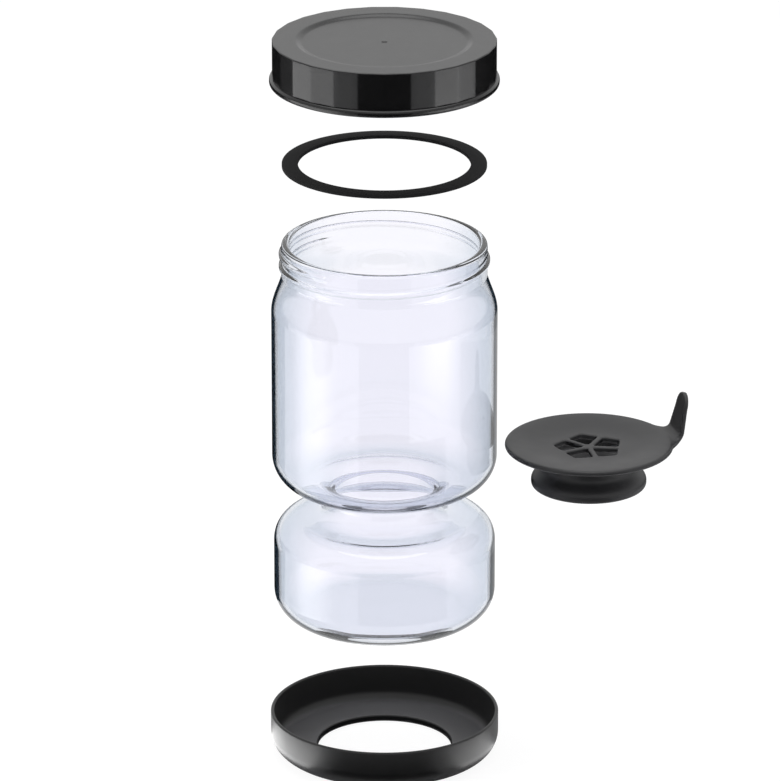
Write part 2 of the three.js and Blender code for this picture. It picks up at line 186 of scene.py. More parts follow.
class KeeperStrainer(bpy.types.PropertyGroup):
    disc_radius: size("Disc radius", "Radius of the disc", 35.3)
    disc_thickness: size("Disc thickness", "Thickness of the disc", 2.3)
    height: size("Height", "From the collar's lip to the disc's top", 19)
    neck_radius: size("Neck radius", "Outer radius of the collar under the disc", 20.2)
    collar_bore: size("Collar bore", "Inner radius of the collar", 16.6)
    collar_mouth: size("Collar mouth", "Inner radius at the lip", 21.6)
    dish_depth: size("Dish depth", "How far the disc's middle lies below its rim", 1.9)
    lip_radius: size("Lip radius", "Outer radius of the lip", 24.2)
    lip_shoulder: size("Lip shoulder", "Height over which the lip swells out", 7.7)
    lip_edge: size("Lip edge", "Rounding of the lip", 1.6)
    lip_straight: size("Lip straight", "Straight band of the lip", 1.2)
    petal_count: IntProperty(name="Petals", description="Petal holes round the hub", default=5, min=3)
    rib_width: size("Rib width", "Width of the ribs between the petals", 2.4)
    petal_side: size("Petal side", "Distance from the hub to a petal's widest place", 10.6)
    petal_tip: size("Petal tip", "Distance from the hub to a petal's tip", 15)
    petal_round: size("Petal round", "Rounding of a petal's corners", 1.3)
    petal_turn: tilt("Petal turn", "How far the petals are turned round the hub", -6)
    tab_rise: size("Tab rise", "How far the tab stands over the disc", 17.7)
    tab_reach: size("Tab reach", "Distance from the hub to the tab's outer face", 42.9)
    tab_thickness: size("Tab thickness", "Thickness of the tab", 2.3)
    tab_bend: size("Tab bend", "Radius of the tab's bend", 4.6)
    tab_width: size("Tab width", "Width of the tab", 15.2)
    tab_tip: size("Tab tip", "Width of the tab near its round tip", 11.4)
    tab_root: size("Tab root", "Width of the tab where it leaves the disc", 31)
    tab_flank_start: size("Tab flank start", "Distance from the hub where the tab's flanks start", 29.5)
    tab_flank_run: size("Tab flank run", "Distance over which the flanks draw in", 9.5)
    tab_lean: tilt("Tab lean", "Outward lean", 11.5)
    tab_turn: tilt("Tab turn", "Where the tab stands round the disc", 16)
    grain: size("Mesh grain", "Voxel size that the moulding is fused at", 0.4)
    silicone: colour("Silicone colour", "Moulded silicone", "#18181A")


class KeeperRing(bpy.types.PropertyGroup):
    inner_radius: size("Inner radius", "Inner radius, round the jar's foot", 46.7)
    wall: size("Wall", "Wall thickness", 1.5)
    floor: size("Floor", "Floor thickness", 2.8)
    outer_corner: size("Outer corner", "Outer radius of the lower corner", 9)
    inner_corner: size("Inner corner", "Inner radius of the lower corner", 4)
    hole_radius: size("Hole radius", "Radius of the hole in the floor", 28.3)
    hole_edge: size("Hole edge", "Rounding of the hole's edge", 0.6)
    silicone: colour("Silicone colour", "Moulded silicone", "#080809")
    # Painted light: the inner floor is painted in this paler colour, standing in for the light that falls on it
    # from overhead; the walls keep the darker silicone.
    matt: colour("Floor colour", "Silicone of the floor inside, moulded matt", "#4C4C4E")


class KeeperStage(bpy.types.PropertyGroup):
    camera_distance: size("Camera distance", "From the camera to the point it looks at", 2800)
    camera_elevation: tilt("Camera elevation", "Height of the view", 20.4)
    pixel: size("Pixel", "Size of one photograph pixel at the object", 0.4167)
    aim_height: size("Aim height", "Height of the point that the camera looks at", 161.9)
    aim_aside: size("Aim aside", "How far that point lies to the right of the jar's axis", 2.3)
    floor_colour: colour("Floor colour", "Pale floor", "#E8E8EA")


# Meshes.
def mesh_object(name, vertices, faces):
    """An object in the scene, with this mesh."""
    mesh = bpy.data.meshes.new(name)
    mesh.from_pydata(vertices, [], faces)
    mesh.update()
    piece = bpy.data.objects.new(name, mesh)
    bpy.context.scene.collection.objects.link(piece)
    return piece


def lofted(name, rings, place, looped=False, capped=False):
    """A skin over rings of points, each joined to the next, with its faces turned outward.

    A ring may be one point. A looped skin joins its last ring to its first, and a capped one closes both.
    """
    numbers = iter(range(sum(len(ring) for ring in rings)))
    rows = [[next(numbers) for _ in ring] for ring in rings]
    count = max(len(ring) for ring in rings)
    faces = []
    for low, high in zip(rows, rows[1:] + rows[:1] if looped else rows[1:]):
        for j in range(count):
            k = (j + 1) % count
            corners = [low[j % len(low)], low[k % len(low)], high[k % len(high)], high[j % len(high)]]
            # Next to a ring of one point, two of the corners are the same.
            faces.append(tuple(dict.fromkeys(corners)))
    if capped:
        faces += [tuple(rows[0]), tuple(rows[-1])]
    x0, y0, z0 = place
    piece = mesh_object(name, [(x0 + x, y0 + y, z0 + z) for ring in rings for x, y, z in ring], faces)
    bm = bmesh.new()
    bm.from_mesh(piece.data)
    bmesh.ops.recalc_face_normals(bm, faces=bm.faces)
    bm.to_mesh(piece.data)
    bm.free()
    return piece


def turned(name, outline, angles, place, radius_at=None):
    """A solid of revolution. The outline runs from axis to axis, or closes on itself.

    radius_at(angle, index) may replace a point's radius, for facets and threads.
    """
    rings = []
    for i, (radius, height) in enumerate(outline):
        if radius < ON_AXIS:
            rings.append([(0, 0, height)])
        else:
            reach = [radius_at(angle, i) if radius_at else radius for angle in angles]
            rings.append([(r * math.cos(angle), r * math.sin(angle), height) for r, angle in zip(reach, angles)])
    return lofted(name, rings, place, looped=len(rings[0]) > 1)


def mark_rings(piece, name, outline, marks, count):
    """Stores one number for each ring of a turned mesh, for its material to read."""
    rings = [[mark] * (1 if radius < ON_AXIS else count) for (radius, _), mark in zip(outline, marks)]
    store_marks(piece, name, sum(rings, []))


def store_marks(piece, name, values):
    """Stores a number for each point of the mesh under this name."""
    piece.data.attributes.new(name, "FLOAT", "POINT").data.foreach_set("value", values)


def round_angles(steps):
    """Even angles all round."""
    return [TAU * j / steps for j in range(steps)]


def smooth(piece, sharp_degrees=None):
    """Shades a piece smooth, apart from edges sharper than the angle."""
    piece.data.shade_smooth()
    if sharp_degrees is not None:
        piece.data.set_sharp_from_angle(angle=math.radians(sharp_degrees))


def apply_modifiers(piece):
    """Replaces the piece's mesh with what its modifiers make of it."""
    shown = piece.evaluated_get(bpy.context.evaluated_depsgraph_get())
    made = bpy.data.meshes.new_from_object(shown)
    piece.modifiers.clear()
    piece.data = made


def dress(piece, material, body, node):
    """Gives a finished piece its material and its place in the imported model."""
    piece.data.materials.clear()
    piece.data.materials.append(material)
    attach(piece, body)
    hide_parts(node)


# How fully a ridge's section fills out. At 1 it has its whole height along its middle line alone.
RIDGE_FULLNESS = 1.3


def ridge_over(jar, width, angle, height, start_height):
    """How much of the winding thread's full height stands at this angle and height, from 0 to 1."""
    share = 0.0
    turn = ((jar.thread_angle - angle) % TAU) / TAU
    while turn <= jar.thread_turns:
        across = abs(height - (start_height - turn * jar.thread_pitch)) / (width / 2)
        if across < 1:
            ends = smoothstep(min(turn, jar.thread_turns - turn) / jar.thread_fade)
            share = max(share, ends * smoothstep(RIDGE_FULLNESS * (1 - across)))
        turn += 1
    return share


# The jar.
JAR_COLUMNS = 288
NECK_STEPS = 100  # enough for the thread's section

# Marks say how fully a point belongs to a chamber's outer wall, for the glass to paint its dark outline line by,
# a painted shade. Over 1, the line is drawn wider than the wall's own, because a tight curve makes it thin.
CORNER_MARK = 1.4
LOWER_WALL_MARK = 1.08
UPPER_WALL_MARK = 1.0
SHOULDER_TOP_MARK = 0.9

# A chamber's lower corner in three arcs, in degrees: unmarked, with its marks rising, and up to the wall.
CORNER_PLAIN = (-QUARTER, -66)
CORNER_RISING = (-63, -45)
CORNER_MARKED = (-42, 0)

# Where the dip from the upper chamber's floor into the throat ends, and the throat's edge starts, in degrees.
DIP_END = 148
THROAT_EDGE_START = 120


def jar_outline(jar):
    """The glass from the middle of the foot, up the outside, over the rim and down the inside."""
    wall, rim, neck, throat = jar.wall, jar.rim_round, jar.neck_radius, jar.throat_radius
    bend, low_fillet, high_fillet = jar.lower_shoulder, jar.waist_lower_fillet, jar.waist_upper_fillet
    throat_fillet = jar.throat_lower_fillet
    waist_low = jar.lower_height + low_fillet
    waist_high = jar.upper_underside - high_fillet
    upper_inner = jar.upper_radius - wall
    lower_inner = jar.lower_radius - wall
    upper_floor = jar.upper_underside + wall
    ceiling = jar.lower_height - wall
    corner_in = jar.upper_corner - wall
    bend_in = bend - wall
    foot_in = jar.bottom_corner - jar.floor
    rim_centre = jar.height - rim
    foot = jar.punt_radius + 2 * jar.punt_depth
    neck_top = (neck, rim_centre)
    neck_foot = (neck, jar.neck_base + rim)
    outline = []
    marks = []

    def add(points, first=0.0, last=0.0):
        """Adds points to the outline, with their marks."""
        points = list(points)
        outline.extend(points)
        marks.extend(first + (last - first) * smoothstep(i / (len(points) - 1)) for i in range(len(points)))

    def corner(radius, underside, rounding, wall_mark):
        """Adds a chamber's lower corner."""
        centre = (radius - rounding, underside + rounding)
        add(arc(*centre, rounding, *CORNER_PLAIN, 8))
        add(arc(*centre, rounding, *CORNER_RISING, 6), 0.0, CORNER_MARK)
        add(arc(*centre, rounding, *CORNER_MARKED, 14), CORNER_MARK, wall_mark)

    add(reversed(eased(foot, 0, 0, jar.punt_depth, 24)[1:]))
    corner(jar.lower_radius, 0, jar.bottom_corner, LOWER_WALL_MARK)
    add(arc(jar.lower_radius - bend, jar.lower_height - bend, bend, 0, QUARTER, 22), LOWER_WALL_MARK, 0.0)
    add(arc(jar.waist_radius + low_fillet, waist_low, low_fillet, 270, 180, 16))
    add(arc(jar.waist_radius + high_fillet, waist_high, high_fillet, 180, QUARTER, 16))
    corner(jar.upper_radius, jar.upper_underside, jar.upper_corner, UPPER_WALL_MARK)
    add(shoulder(jar.upper_radius, neck, jar.shoulder_base, jar.neck_base), UPPER_WALL_MARK, SHOULDER_TOP_MARK)
    threaded_from = len(outline)
    add([neck_foot] + line(neck_foot, neck_top, NECK_STEPS))
    threaded = range(threaded_from, len(outline))
    add(arc(neck - rim, rim_centre, rim, 0, QUARTER, 8))
    add(arc(jar.mouth_radius + rim, rim_centre, rim, QUARTER, 180, 8))
    add(reversed(shoulder(upper_inner, jar.mouth_radius, jar.shoulder_base - wall / 2, jar.neck_base - wall / 2)))
    add(arc(upper_inner - corner_in, upper_floor + corner_in, corner_in, 0, -QUARTER, 22))
    add(arc(jar.waist_radius + high_fillet, waist_high, high_fillet + wall, QUARTER, DIP_END, 16))
    add(arc(throat + rim, jar.throat_edge - rim, rim, THROAT_EDGE_START, 180, 6))
    add(arc(throat + throat_fillet, ceiling + throat_fillet, throat_fillet, 180, 270, 20))
    add(arc(lower_inner - bend_in, ceiling - bend_in, bend_in, QUARTER, 0, 18))
    add(arc(lower_inner - foot_in, jar.floor + foot_in, foot_in, 0, -QUARTER, 18))
    add(line((lower_inner - foot_in, jar.floor), (0, jar.floor), 8) + [(0, jar.floor)])
    return outline, threaded, marks


def eased(r0, z0, r1, z1, steps):
    """A soft step from one height to another."""
    return [(r0 + (r1 - r0) * i / steps, z0 + (z1 - z0) * smoothstep(i / steps)) for i in range(steps + 1)]


# The shoulder's line: the share of it that is an even ease, and the power that bows the rest.
SHOULDER_EASE = 0.62
SHOULDER_BOW = 1.7
SHOULDER_STEPS = 36


def shoulder(body_radius, neck_radius, low, high):
    """The draw-in from the body to the neck: nearly straight, and eased at both ends."""
    points = []
    for i in range(SHOULDER_STEPS + 1):
        t = i / SHOULDER_STEPS
        soft = SHOULDER_EASE * smoothstep(t) + (1 - SHOULDER_EASE) * t ** SHOULDER_BOW
        points.append((body_radius - (body_radius - neck_radius) * soft, low + (high - low) * t))
    return points


class KEEPER_OT_jar(bpy.types.Operator):
    """Builds the glass jar with its winding thread"""

    bl_idname = "keeper.jar"
    bl_label = "Glass jar"

    def execute(self, context):
        jar = context.scene.keeper_jar
        outline, threaded, marks = jar_outline(jar)

        def radius_at(angle, index):
            radius, height = outline[index]
            if index not in threaded:
                return radius
            share = ridge_over(jar, jar.thread_width, angle, height, jar.height - jar.thread_start)
            return radius + jar.thread_height * share

        angles = round_angles(JAR_COLUMNS)
        piece = turned("jar_glass", outline, angles, (JAR_AXIS, 0, JAR_LOW.z), radius_at)
        smooth(piece)
        mark_rings(piece, "outer_wall", outline, marks, len(angles))
        dress(piece, soda_lime_glass(jar), "jar", "glass_jar")
        return {"FINISHED"}


# The lid.
LID_SHARP = 24  # degrees
FLAT_WEIGHT = 90  # how much more a large face counts in a corner's normal than a small one
THREAD_STEPS = 40


class KEEPER_OT_lid(bpy.types.Operator):
    """Builds the faceted screw lid"""

    bl_idname = "keeper.lid"
    bl_label = "Screw lid"

    def execute(self, context):
        lid = context.scene.keeper_lid
        jar = context.scene.keeper_jar
        height = LID_HIGH.z - LID_LOW.z
        flats, edge, bore, boss = lid.flats_radius, lid.top_edge, lid.bore_radius, lid.boss_radius
        corner = flats / math.cos(math.pi / lid.facets)
        corner_limit = (corner - lid.corner_round) / flats
        bend = lid.bead_round
        bead_middle = corner + lid.bead_reach - bend
        under = height - lid.top_thickness
        panel = height - lid.recess_depth
        slope_foot = lid.recess_radius - lid.recess_slope
        mark = panel - lid.gate_depth
        sides = [(0, mark), (lid.gate_radius - lid.gate_depth, mark), (lid.gate_radius, panel)]
        sides += line((lid.gate_radius, panel), (slope_foot, panel), 10)
        sides += eased(slope_foot, panel, lid.recess_radius, height, 10)
        faceted_from = len(sides)
        sides += line((lid.recess_radius, height), (flats - edge, height), 6)
        sides += arc(flats - edge, height - edge, edge, QUARTER, 0, 6)
        sides += line((flats, height - edge), (flats, lid.bead_height), 6) + [(flats, lid.bead_height)]
        faceted = range(faceted_from, len(sides))
        sides += arc(bead_middle, lid.bead_height - bend, bend, QUARTER, 0, 8)
        sides += arc(bead_middle, bend, bend, 0, -QUARTER, 8) + [(bore, 0)]
        threaded_from = len(sides)
        sides += line((bore, 0), (bore, under), THREAD_STEPS)
        threaded = range(threaded_from, len(sides))
        sides += [(bore, under), (boss, under), (boss, under - lid.recess_depth), (0, under - lid.recess_depth)]
        # The lid's thread ends half a pitch over its open edge.
        start = jar.thread_pitch * (jar.thread_turns + 0.5)

        def radius_at(angle, index):
            radius, rise = sides[index]
            if index in faceted:
                return radius * facet_factor(angle, lid.facets, corner_limit)
            if index in threaded:
                return radius - lid.thread_depth * ridge_over(jar, lid.thread_width, angle, rise, start)
            return radius

        piece = turned("screw_lid", sides, facet_angles(lid.facets), (JAR_AXIS, 0, LID_LOW.z), radius_at)
        smooth(piece, LID_SHARP)
        weigh = piece.modifiers.new("Flat facets", "WEIGHTED_NORMAL")
        weigh.keep_sharp = True
        weigh.weight = FLAT_WEIGHT
        dress(piece, moulded_polypropylene(lid), "cap", "lid")
        return {"FINISHED"}


# The share of a facet that each of its eased corners takes.
FACET_EASE = 0.05


def facet_angles(facets):
    """Angles round the lid: three close together at each facet's corner, and three spread over its flat."""
    step = TAU / facets
    shares = [-FACET_EASE, 0, FACET_EASE]
    shares += [FACET_EASE + (1 - 2 * FACET_EASE) * s for s in (0.25, 0.5, 0.75)]
    return [-math.pi / 2 + (k + share) * step for k in range(facets) for share in shares]


def facet_factor(angle, facets, corner_limit):
    """The radius at this angle as a share of the radius to a facet's middle."""
    step = TAU / facets
    from_middle = (angle + math.pi / 2) % step - step / 2
    return min(1 / math.cos(from_middle), corner_limit)


# The gasket.
GASKET_COLUMNS = 192
GASKET_SHARP = 35  # degrees


class KEEPER_OT_gasket(bpy.types.Operator):
    """Builds the flat gasket"""

    bl_idname = "keeper.gasket"
    bl_label = "Lid gasket"

    def execute(self, context):
        gasket = context.scene.keeper_gasket
        thick = GASKET_HIGH.z - GASKET_LOW.z
        edge = gasket.edge
        outer, inner, top = gasket.outer_radius - edge, gasket.inner_radius + edge, thick - edge
        outline = []
        for radius, rise, start in ((outer, edge, -QUARTER), (outer, top, 0), (inner, top, QUARTER),
                                    (inner, edge, 180)):
            outline += arc(radius, rise, edge, start, start + QUARTER, 4)
        piece = turned("flat_gasket", outline, round_angles(GASKET_COLUMNS), (JAR_AXIS, 0, GASKET_LOW.z))
        smooth(piece, GASKET_SHARP)
        dress(piece, moulded_rubber(gasket), "gasket", "lid_gasket")
        return {"FINISHED"}


# The base ring.
RING_COLUMNS = 224
RING_SHARP = 50  # degrees

# The shares of the inner corner that come before the floor that is painted paler, as painted light from overhead,
# and over which that paler colour sets in.
MATT_START = 0.4
MATT_RUN = 0.5


class KEEPER_OT_ring(bpy.types.Operator):
    """Builds the soft ring that the jar stands in"""

    bl_idname = "keeper.ring"
    bl_label = "Base ring"

    def execute(self, context):
        ring = context.scene.keeper_ring
        height = RING_HIGH.z - RING_LOW.z
        inner, floor, edge, lip = ring.inner_radius, ring.floor, ring.hole_edge, ring.wall / 2
        outer = inner + ring.wall
        inner_bend, outer_bend = ring.inner_corner, ring.outer_corner
        hole = ring.hole_radius + edge
        outline = arc(hole, edge, edge, 180, 270, 5)
        outline += line((hole, 0), (outer - outer_bend, 0), 6)
        outline += arc(outer - outer_bend, outer_bend, outer_bend, -QUARTER, 0, 20)
        outline += arc(outer - lip, height - lip, lip, 0, 180, 12)
        # Marks for the painted light on the inner floor: none on the outside, rising round the inner corner, full
        # over the floor and none on the hole's turned-down edge.
        marks = [0.0] * len(outline)
        inside = arc(inner - inner_bend, floor + inner_bend, inner_bend, 0, -QUARTER, 16)
        outline += inside
        marks += [smoothstep((i / len(inside) - MATT_START) / MATT_RUN) for i in range(len(inside))]
        outline += line((inner - inner_bend, floor), (hole, floor), 6)
        turned_down = arc(hole, floor - edge, edge, QUARTER, 180, 5)
        marks += [1.0] * (len(outline) - len(marks) + 1) + [0.0] * (len(turned_down) - 1)
        outline += turned_down
        angles = round_angles(RING_COLUMNS)
        piece = turned("foot_ring", outline, angles, (JAR_AXIS, 0, RING_LOW.z))
        smooth(piece, RING_SHARP)
        mark_rings(piece, "matt_floor", outline, marks, len(angles))
        dress(piece, moulded_silicone(ring.silicone, "ring", ring.matt), "base", "base_ring")
        return {"FINISHED"}


# The strainer.
STRAINER_COLUMNS = 200
DISC_RINGS = 30
LIP_STEPS = 14
PETAL_CORNER_STEPS = 6

# How the fused skin is eased: the share of the way to its neighbours that a point moves, and how often.
EASE_FACTOR = 0.5
EASE_ROUNDS = 6

# The share of the disc's radius within which the dish is flat.
DISH_START = 0.42

# The share of the lip's shoulder over which it swells out.
LIP_SWELL_END = 0.84

# The tab: where it starts in the disc, as a share of its radius, its steps, and how its steps crowd to the tip.
TAB_ROOT_SHARE = 0.8
TAB_ROOT_STEPS = 16
TAB_BEND_STEPS = 12
TAB_RISE_STEPS = 24
TAB_TIP_CROWDING = 1.6

# The tab's section: its points, how square it is, its loss of thickness to the tip, and its least width there.
TAB_SECTION = 32
TAB_SQUARENESS = 0.4
TAB_THINNING = 0.12
TAB_LEAST_WIDTH = 0.02


def petal_outline(strainer):
    """One petal hole, pointing along +X, with its corners rounded."""
    half_angle = math.pi / strainer.petal_count
    half_rib = strainer.rib_width / 2
    side = strainer.petal_side * math.tan(half_angle) - half_rib / math.cos(half_angle)
    corners = [Vector((half_rib / math.sin(half_angle), 0)), Vector((strainer.petal_side, -side)),
               Vector((strainer.petal_tip, 0)), Vector((strainer.petal_side, side))]
    outline = []
    for i, corner in enumerate(corners):
        before = corner + (corners[i - 1] - corner).normalized() * strainer.petal_round
        after = corner + (corners[(i + 1) % len(corners)] - corner).normalized() * strainer.petal_round
        for j in range(PETAL_CORNER_STEPS + 1):
            t = j / PETAL_CORNER_STEPS
            outline.append(before * (1 - t) ** 2 + corner * 2 * t * (1 - t) + after * t ** 2)
    return outline


def prism(name, outline, low, high, turn, place):
    """An outline raised straight up, turned round the strainer's axis."""
    spin = Matrix.Rotation(turn, 2)
    return lofted(name, [[(*(spin @ point), z) for point in outline] for z in (low, high)], place, capped=True)


def dish_fall(strainer, radius):
    """How far the dish lies below its rim at this radius."""
    share = radius / strainer.disc_radius
    return strainer.dish_depth * (1 - smoothstep((share - DISH_START) / (1 - DISH_START)))


def tab_spine(strainer, under):
    """The middle line of the lift tab in its own upright plane: (reach, height, direction in radians)."""
    half = strainer.tab_thickness / 2
    middle = under + half
    top = under + strainer.disc_thickness + strainer.tab_rise
    lean, bend = strainer.tab_lean, strainer.tab_bend
    up = math.pi / 2 - lean
    straight = (top - middle - bend * (1 - math.cos(up))) / math.cos(lean)
    bend_start = strainer.tab_reach - half - straight * math.sin(lean) - bend * math.sin(up)
    root = strainer.disc_radius * TAB_ROOT_SHARE
    spine = []
    for i in range(TAB_ROOT_STEPS):
        x = root + (bend_start - root) * i / TAB_ROOT_STEPS
        spine.append((x, middle - dish_fall(strainer, x), 0.0))
    for i in range(TAB_BEND_STEPS + 1):
        a = up * i / TAB_BEND_STEPS
        spine.append((bend_start + bend * math.sin(a), middle + bend * (1 - math.cos(a)), a))
    x0, z0, _ = spine[-1]
    for i in range(1, TAB_RISE_STEPS + 1):
        along = straight * (1 - (1 - i / TAB_RISE_STEPS) ** TAB_TIP_CROWDING)
        spine.append((x0 + along * math.sin(lean), z0 + along * math.cos(lean), up))
    return spine


def lift_tab(strainer, under, place):
    """The tab as a run of rounded cross-sections from the disc's edge round the bend to the tip."""
    spine = tab_spine(strainer, under)
    lengths = [0.0]
    for (x0, z0, _), (x1, z1, _) in zip(spine, spine[1:]):
        lengths.append(lengths[-1] + math.hypot(x1 - x0, z1 - z0))
    total = lengths[-1]
    tip = strainer.tab_tip / 2
    straight_start = lengths[TAB_ROOT_STEPS + TAB_BEND_STEPS]
    spin = Matrix.Rotation(strainer.tab_turn, 3, "Z")
    rings = []
    for (x, z, direction), s in zip(spine, lengths):
        drawn_in = smoothstep((x - strainer.tab_flank_start) / strainer.tab_flank_run)
        half = (strainer.tab_root + (strainer.tab_width - strainer.tab_root) * drawn_in) / 2
        upper = min(1.0, max(0.0, (s - straight_start) / (total - straight_start - tip)))
        half += (strainer.tab_tip - strainer.tab_width) / 2 * upper
        left = total - s
        if left < tip:
            half *= math.sqrt(max(0.0, 1 - ((tip - left) / tip) ** 2)) + TAB_LEAST_WIDTH
        thick = strainer.tab_thickness / 2 * (1 - TAB_THINNING * upper)
        section = [(half * squared(math.cos(a)), thick * squared(math.sin(a))) for a in round_angles(TAB_SECTION)]
        rings.append([spin @ Vector((x - deep * math.sin(direction), across, z + deep * math.cos(direction)))
                      for across, deep in section])
    return lofted("lift_tab", rings, place, capped=True)


def squared(share):
    """A circle's sine or cosine, pushed out towards a square."""
    return math.copysign(abs(share) ** TAB_SQUARENESS, share)


class KEEPER_OT_strainer(bpy.types.Operator):
    """Builds the strainer as one moulding: disc, petal holes, flared collar and lift tab"""

    bl_idname = "keeper.strainer"
    bl_label = "Lift strainer"

    def execute(self, context):
        strainer = context.scene.keeper_strainer
        place = (STRAINER_AXIS, 0, STRAINER_LOW.z)
        under = strainer.height - strainer.disc_thickness
        edge = strainer.disc_thickness / 2
        rim = strainer.disc_radius - edge
        radii = [rim * i / DISC_RINGS for i in range(DISC_RINGS)]
        disc_outline = [(r, under - dish_fall(strainer, r)) for r in radii]
        disc_outline += arc(rim, under + edge, edge, -QUARTER, QUARTER, 12)
        disc_outline += [(r, strainer.height - dish_fall(strainer, r)) for r in reversed(radii)]
        disc = turned("strainer_disc", disc_outline, round_angles(STRAINER_COLUMNS), place)
        petals = []
        for i in range(strainer.petal_count):
            turn = strainer.petal_turn + (i + 0.5) * TAU / strainer.petal_count
            petals.append(prism(f"petal_{i}", petal_outline(strainer), under - strainer.dish_depth - edge,
                                strainer.height, turn, place))
            cut = disc.modifiers.new("Petal", "BOOLEAN")
            cut.operation = "DIFFERENCE"
            cut.solver = "EXACT"
            cut.object = petals[-1]
        apply_modifiers(disc)
        for petal in petals:
            bpy.data.objects.remove(petal)
        neck = collar(strainer, under + edge - strainer.dish_depth, place)
        piece = fused("lift_strainer", [disc, neck, lift_tab(strainer, under, place)], strainer.grain)
        smooth(piece)
        dress(piece, moulded_silicone(strainer.silicone, "strainer"), "plug", "strainer")
        return {"FINISHED"}


def collar(strainer, top, place):
    """The hollow neck under the disc, with the lip that swells out at its lower end."""
    neck, edge, bore, mouth = strainer.neck_radius, strainer.lip_edge, strainer.collar_bore, strainer.collar_mouth
    lip_top = edge + strainer.lip_straight
    shoulder_top = lip_top + strainer.lip_shoulder
    outline = [(mouth, 0)] + arc(strainer.lip_radius - edge, edge, edge, -QUARTER, 0, 8)
    for i in range(LIP_STEPS + 1):
        t = i / LIP_STEPS
        swell = 1 - smoothstep(t / LIP_SWELL_END)
        outline.append((neck + (strainer.lip_radius - neck) * swell, lip_top + (shoulder_top - lip_top) * t))
    outline += [(neck, top), (bore, top), (bore, shoulder_top), (mouth, edge)]
    return turned("strainer_collar", outline, round_angles(STRAINER_COLUMNS), place)


def fused(name, parts, grain):
    """Joins overlapping closed parts into one skin and eases its edges, as a moulding has them."""
    bm = bmesh.new()
    for part in parts:
        bm.from_mesh(part.data)
    for part in parts:
        bpy.data.objects.remove(part)
    piece = mesh_object(name, [], [])
    bm.to_mesh(piece.data)
    bm.free()
    remesh = piece.modifiers.new("Fuse", "REMESH")
    remesh.mode = "VOXEL"
    remesh.voxel_size = grain
    remesh.use_smooth_shade = True
    ease = piece.modifiers.new("Ease", "SMOOTH")
    ease.factor = EASE_FACTOR
    ease.iterations = EASE_ROUNDS
    apply_modifiers(piece)
    return piece


# Materials.
def node_adder(tree):
    """Empties a node tree, and gives a function that adds a node to it."""
    tree.nodes.clear()

    def add(kind, inputs=None, **settings):
        """Adds a node: inputs gives a link or a value by socket, and settings a value or property by name."""
        node = tree.nodes.new("ShaderNode" + kind)
        for key, value in settings.items():
            label = key.replace("_", " ").lower()
            names = {socket.name.lower(): socket for socket in reversed(node.inputs)}
            if hasattr(node, key):
                setattr(node, key, value)
            elif label in names:
                names[label].default_value = value
            else:
                raise KeyError(f"{kind} has no {key}")
        for key, source in (inputs or {}).items():
            if isinstance(source, bpy.types.NodeSocket):
                tree.links.new(source, node.inputs[key])
            else:
                node.inputs[key].default_value = source
        return node

    return add


def new_material(name):
    """An empty node material, and the function that adds a node to it."""
    material = bpy.data.materials.new(name)
    material.use_nodes = True
    return material, node_adder(material.node_tree)


# Where a colour Mix node has its colours.
MIX_FIRST = 6
MIX_SECOND = 7
MIX_RESULT = 2


def mixed(add, share, first, second):
    """A colour between two others, each a link or red, green and blue."""
    colours = [c if isinstance(c, bpy.types.NodeSocket) else (*c, 1) for c in (first, second)]
    mix = add("Mix", {"Factor": share, MIX_FIRST: colours[0], MIX_SECOND: colours[1]}, data_type="RGBA")
    return mix.outputs[MIX_RESULT]


def either(add, first, second):
    """One where either of two shares is one."""
    return add("Math", {0: first, 1: second}, operation="MAXIMUM").outputs[0]


def over(add, value, limit):
    """One where the value is over the limit, or else zero."""
    return add("Math", {0: value, 1: limit}, operation="GREATER_THAN").outputs[0]


def ranged(add, share, low, high, **settings):
    """A number that runs from low to high as a share runs from zero to one."""
    return add("MapRange", {"Value": share}, To_Min=low, To_Max=high, **settings).outputs["Result"]


def bumped(add, height, strength, depth):
    """The normal of a surface that rises and falls with a noise."""
    return add("Bump", {"Height": height}, Strength=strength, Distance=depth).outputs["Normal"]


def surfaced(material, add, shader):
    """The material, with this shader as its surface."""
    add("OutputMaterial", {"Surface": shader.outputs[0]})
    return material


def noise(add, grain, **settings):
    """Noise in the piece's own space, with a grain of this size."""
    place = add("TexCoord")
    return add("TexNoise", {"Vector": place.outputs["Object"]}, Scale=1 / grain, **settings).outputs["Fac"]


def varied(add, share, colour, darkest, lightest):
    """A colour that a noise varies between two shares of itself."""
    return mixed(add, share, [c * darkest for c in colour], [c * lightest for c in colour])


# The painted navy line at the jar's outline, in the Layer Weight node's facing: where it sets in and is full, and
# how much later it sets in on unmarked glass.
OUTLINE_RISE = (0.68, 0.77)
OUTLINE_LIFT = -0.35


def soda_lime_glass(jar):
    """Pressed soda-lime glass, fire-polished: clear and smooth, with a cool cast where it is seen at a slant, and
    a painted navy line where it is seen edge on, a painted shade for the dark surroundings that the wall shows
    there.
    """
    material, add = new_material("soda_lime_glass_pressed")
    facing = add("LayerWeight", Blend=0.5).outputs["Facing"]
    outer = add("Attribute", attribute_name="outer_wall").outputs["Fac"]
    # At a slant the light runs through more glass.
    slant = ranged(add, facing, 0.0, 1.0, From_Min=0.22, From_Max=0.62)
    body = mixed(add, slant, jar.glass_colour, jar.slant_colour)
    # Just inside the outline the wall turns the light aside and shows its dark surroundings; a navy line is
    # painted into the colour there for them, a painted shade.
    lift = ranged(add, outer, OUTLINE_LIFT, 0.0, clamp=False)
    lifted = add("Math", {0: facing, 1: lift}, operation="ADD").outputs[0]
    line_share = add("ValToRGB", {"Fac": lifted})
    for stop, place, share in zip(line_share.color_ramp.elements, OUTLINE_RISE, (0.0, 1.0)):
        stop.position = place
        stop.color = (share, share, share, 1)
    tint = mixed(add, line_share.outputs["Color"], body, jar.edge_colour)
    glass = add("BsdfPrincipled", {"Base Color": tint}, Roughness=0.0, IOR=1.5, Transmission_Weight=1.0)
    return surfaced(material, add, glass)


